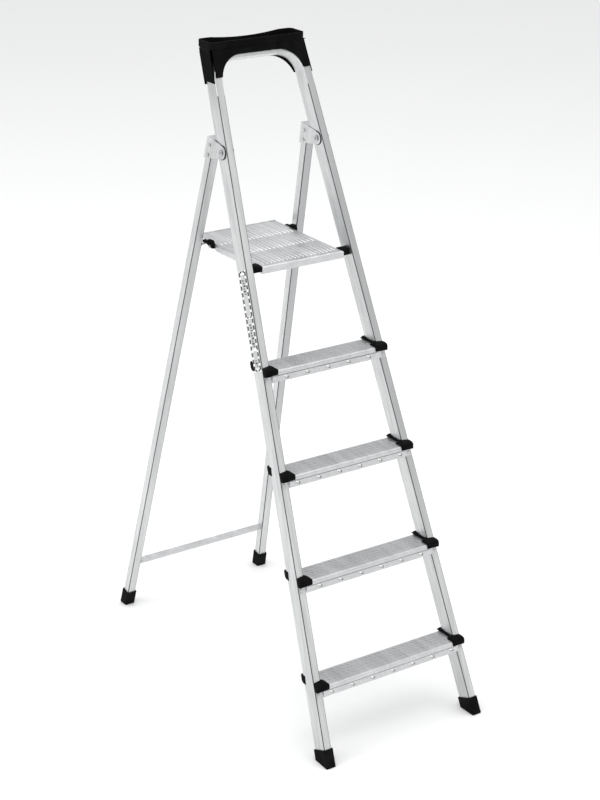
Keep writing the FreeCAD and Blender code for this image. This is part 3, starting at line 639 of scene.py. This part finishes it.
def finish_pressing(piece, steel, body):
    """Give a set of pressings its steel and tie it to its body."""
    piece.data.materials.clear()
    piece.data.materials.append(steel)
    smooth(piece, 60)
    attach(piece, body)


tread_boxes = {}
for number in range(1, 5):
    low, high = (Vector(corner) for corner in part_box("tread_%d" % number))
    tread_boxes[number] = (low, high)
    columns = int((2 * (high.x - EAR_REACH) - RIB_PITCH) / RIB_PITCH)
    middle = (low.y + NOSE_STRIP + high.y) / 2
    rows = []
    for shift in (-1, 1):
        field = rib_field("rows", rib(*TREAD_RIB, RIB_TURN), columns, RIB_PITCH, 2, 2 * ROW_PITCH)
        offset = Vector((shift * RIB_PITCH / 4, middle + shift * ROW_PITCH / 2, high.z))
        put_in_place(field, Matrix.Translation(offset))
        rows.append(field)
    grip = join_all(rows, "tread_%d_ribs" % number)
    # The ribs' darker steel is painted shade.
    finish_pressing(grip, shaded_rib_steel, "front_frame")
    print(grip.name, columns, "ribs in each of 4 rows")

# %% [markdown]
# Under each nose the sheet steps back by a millimetre; the shadow in that step is painted as a dark
# strip.
# Below the line a punch has pressed a row of slanting dimples from behind, which stiffen the tread.
# Each dimple is two ribs: a pale bump, a painted highlight, and a dark patch beside it, a painted
# shadow.

# %% Painted seam shadow and dimples under the noses
NOSE_BAND = 12 * MM
SEAM_SHADOW = (0.5 * MM, 1.1 * MM)
DIMPLE_PITCH = 59 * MM
DIMPLES = (7, 6, 6, 5)
DIMPLE_SHADOW = (15 * MM, 6.0 * MM, 0.7 * MM)
BUMP = (12 * MM, 5.0 * MM, 1.5 * MM)
DIMPLE_TURN = math.radians(62)
SKIRT_STEP = 1.0 * MM
SEAM_SHADOW_DROP = 0.6 * MM
SHADOW_SHIFT, SHADOW_DROP = 2.5 * MM, 18.6 * MM
BUMP_SHIFT, BUMP_DROP = 0.6 * MM, 17.2 * MM
on_skirt = Matrix.Rotation(math.pi / 2, 4, "X")
for number, (low, high) in tread_boxes.items():
    face_y = low.y + SKIRT_STEP
    half = high.x - EAR_REACH
    bpy.ops.object.select_all(action="DESELECT")
    bpy.ops.mesh.primitive_cube_add(size=1.0, location=(0, 0, 0))
    seam_shadow = bpy.context.active_object
    hold(seam_shadow)
    bpy.ops.object.mode_set(mode="EDIT")
    bpy.ops.mesh.select_all(action="SELECT")
    bpy.ops.transform.resize(value=(2 * half, *SEAM_SHADOW))
    bpy.ops.mesh.bevel(offset=0.1 * MM, segments=1, affect="EDGES")
    bpy.ops.object.mode_set(mode="OBJECT")
    put_in_place(seam_shadow, Matrix.Translation((0, face_y, high.z - NOSE_BAND - SEAM_SHADOW_DROP)))
    # A painted shadow beside each dimple, offset from its bump.
    dimple_shadow = rib_field("dimple_shadows", rib(*DIMPLE_SHADOW, DIMPLE_TURN), DIMPLES[number - 1],
                       DIMPLE_PITCH, 1, 1.0)
    put_in_place(dimple_shadow, Matrix.Translation((SHADOW_SHIFT, face_y, high.z - SHADOW_DROP)) @ on_skirt)
    dark = join_all([seam_shadow, dimple_shadow], "tread_%d_hollows" % number)
    finish_pressing(dark, shadow_steel, "front_frame")
    # Each dimple's bump in pale steel, a painted highlight.
    bumps = rib_field("tread_%d_bumps" % number, rib(*BUMP, DIMPLE_TURN),
                      DIMPLES[number - 1], DIMPLE_PITCH, 1, 1.0)
    put_in_place(bumps, Matrix.Translation((BUMP_SHIFT, face_y, high.z - BUMP_DROP)) @ on_skirt)
    finish_pressing(bumps, highlight_steel, "front_frame")
print("seams and dimples on", len(tread_boxes), "treads")

# %% Ribs on the platform
DECK_RIB = (62 * MM, 4.8 * MM, 1.1 * MM)
DECK_PITCH = 11.3 * MM
DECK_HEM_RISE = 1.2 * MM
DECK_EDGES = 14 * MM
BAND_STARTS = (16 * MM, 104 * MM, 192 * MM)
low, high = (Vector(corner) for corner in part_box("platform_deck"))
deck_top = high.z - DECK_HEM_RISE
deck_columns = int((high.x - low.x - DECK_EDGES) / DECK_PITCH)
bands = []
for start in BAND_STARTS:
    field = rib_field("band", rib(*DECK_RIB, 0.0), deck_columns, DECK_PITCH, 1, 1.0)
    put_in_place(field, Matrix.Translation((0, low.y + start + DECK_RIB[0] / 2, deck_top)))
    bands.append(field)
deck_grip = join_all(bands, "platform_pressings")
# The platform ribs' pale steel is a painted highlight on them.
finish_pressing(deck_grip, highlight_steel, "platform")
print("platform has", deck_columns, "ribs in each of", len(BAND_STARTS), "bands")

# %% [markdown]
# ## The printed strip
# A film strip on the left rail carries care marks inside a dashed frame. Its real print is left out.
# In its place go plain bands, dashes and bars, made as thin tiles, so that nothing on the
# ladder can be read as words or as a mark. The tiles are laid out flat and then tilted on to the rail.


# %% Cut one tile
STRIP_LOW = 930 * MM
STRIP_HIGH = 1166 * MM
STRIP_FRONT = 2 * MM
STRIP_BACK = 33 * MM
STRIP_MIDDLE = (STRIP_FRONT + STRIP_BACK) / 2
BAND_WIDTH = 6.0 * MM


def tile(thickness, width, length, across, along):
    """A thin tile in the strip's own plane: x is out of the rail, z runs up it."""
    bpy.ops.object.select_all(action="DESELECT")
    bpy.ops.mesh.primitive_cube_add(size=1.0, location=(0, 0, 0))
    piece = bpy.context.active_object
    hold(piece)
    bpy.ops.object.mode_set(mode="EDIT")
    bpy.ops.mesh.select_all(action="SELECT")
    bpy.ops.transform.resize(value=(thickness, width, length))
    bpy.ops.mesh.bevel(offset=thickness * 0.2, segments=1, affect="EDGES")
    bpy.ops.object.mode_set(mode="OBJECT")
    put_in_place(piece, Matrix.Translation((-thickness / 2, across, along)))
    return piece


strip_length = STRIP_HIGH - STRIP_LOW
strip_centre = (STRIP_HIGH + STRIP_LOW) / 2
print("strip is", round(strip_length, 3), "m long")

# %% White bands of the frame
BAND_THICK = 0.10 * MM
bands_white = []
for across in (STRIP_FRONT + BAND_WIDTH / 2, STRIP_BACK - BAND_WIDTH / 2):
    bands_white.append(tile(BAND_THICK, BAND_WIDTH, strip_length, across, strip_centre))
for along in (STRIP_HIGH - 6 * MM, STRIP_LOW + 128 * MM, STRIP_LOW + 52 * MM, STRIP_LOW + 5 * MM):
    bands_white.append(tile(BAND_THICK * 0.9, STRIP_BACK - STRIP_FRONT, BAND_WIDTH, STRIP_MIDDLE, along))
strip_bands = join_all(bands_white, "rail_strip_bands")
print("white bands have", len(strip_bands.data.polygons), "faces")

# %% Dashes and marks
DASH_PITCH = 15.6 * MM
DASH = (5.6 * MM, 10.0 * MM)
MARK_THICK = 0.18 * MM
CROSS_DASH = (8.0 * MM, 4.0 * MM)
BAR_WIDTHS = (7, 10, 6, 9, 8, 5, 10)
BAR_BLOCKS = ((182 * MM, 6), (60 * MM, 9), (14 * MM, 3))
BAR_PITCH = 6.2 * MM
BAR_SHIFT = 1.6 * MM
dash_count = int(strip_length / DASH_PITCH)
marks = []
for across in (STRIP_FRONT + BAND_WIDTH / 2, STRIP_BACK - BAND_WIDTH / 2):
    dash = tile(MARK_THICK, *DASH, across, STRIP_LOW + DASH_PITCH * 0.6)
    finish_modifier(dash, "ARRAY", count=dash_count, use_relative_offset=False, use_constant_offset=True,
                    constant_offset_displace=(0, 0, DASH_PITCH))
    marks.append(dash)
for along in (STRIP_HIGH - 3 * MM, STRIP_LOW + 128 * MM, STRIP_LOW + 4 * MM):
    for across in (STRIP_MIDDLE - 7 * MM, STRIP_MIDDLE + 6 * MM):
        marks.append(tile(MARK_THICK, *CROSS_DASH, across, along))
for start, count in BAR_BLOCKS:
    for step in range(count):
        width = BAR_WIDTHS[step % len(BAR_WIDTHS)] * MM
        length = (2.4 + step % 2 * 1.6) * MM
        across = STRIP_MIDDLE + (step % 3 - 1) * BAR_SHIFT
        marks.append(tile(MARK_THICK, width, length, across, STRIP_LOW + start + step * BAR_PITCH))
strip_marks = join_all(marks, "rail_strip_marks")
print("dark marks have", len(strip_marks.data.polygons), "faces")

# %% Lay bands and marks on the rail
FLOOR_HALF = 226.8 * MM
FILM_THICK = 0.32 * MM
RAIL_TAPER = 0.0632 * math.cos(RAIL_LEAN)
label_low = Vector(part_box("rail_label")[0])
tilt_in = Matrix.Rotation(math.atan(RAIL_TAPER), 4, "Y")
tilt_back = Matrix.Rotation(-RAIL_LEAN, 4, "X")
low_front = tilt_back @ Vector((0, STRIP_FRONT, STRIP_LOW))
on_rail = Matrix.Translation((-FLOOR_HALF - FILM_THICK, label_low.y - low_front.y, 0))
for piece in (strip_bands, strip_marks):
    put_in_place(piece, on_rail @ tilt_back @ tilt_in)
print("strip starts at y", round(label_low.y, 4))


# %% Finish the strip
def film_finish(name, light, dark):
    """Printed film: a tone with faint smudges, a little gloss and fine specks."""
    finish, tree, shader = new_finish(name)
    wear = place_group(tree, wear_group, Speck_Scale=500.0, Smudge_Scale=40.0)
    tree.links.new(two_tones(tree, wear.outputs["Smudge"], light, dark), shader.inputs["Base Color"])
    tree.links.new(between(tree, wear.outputs["Speck"], 0.35, 0.6), shader.inputs["Roughness"])
    relief(tree, shader, wear.outputs["Smudge"], 0.00003, 0.3)
    return finish


clear_film = film_finish("clear_film", (0.50, 0.51, 0.51), (0.42, 0.43, 0.43))
white_film = film_finish("white_film", (0.92, 0.92, 0.92), (0.84, 0.84, 0.84))
dark_ink = film_finish("dark_ink", (0.006, 0.006, 0.006), (0.015, 0.015, 0.015))
for material_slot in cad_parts["rail_label"].material_slots:
    material_slot.material = clear_film
for piece, finish in ((strip_bands, white_film), (strip_marks, dark_ink)):
    piece.data.materials.clear()
    piece.data.materials.append(finish)
    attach(piece, "front_frame")
print("strip finished")
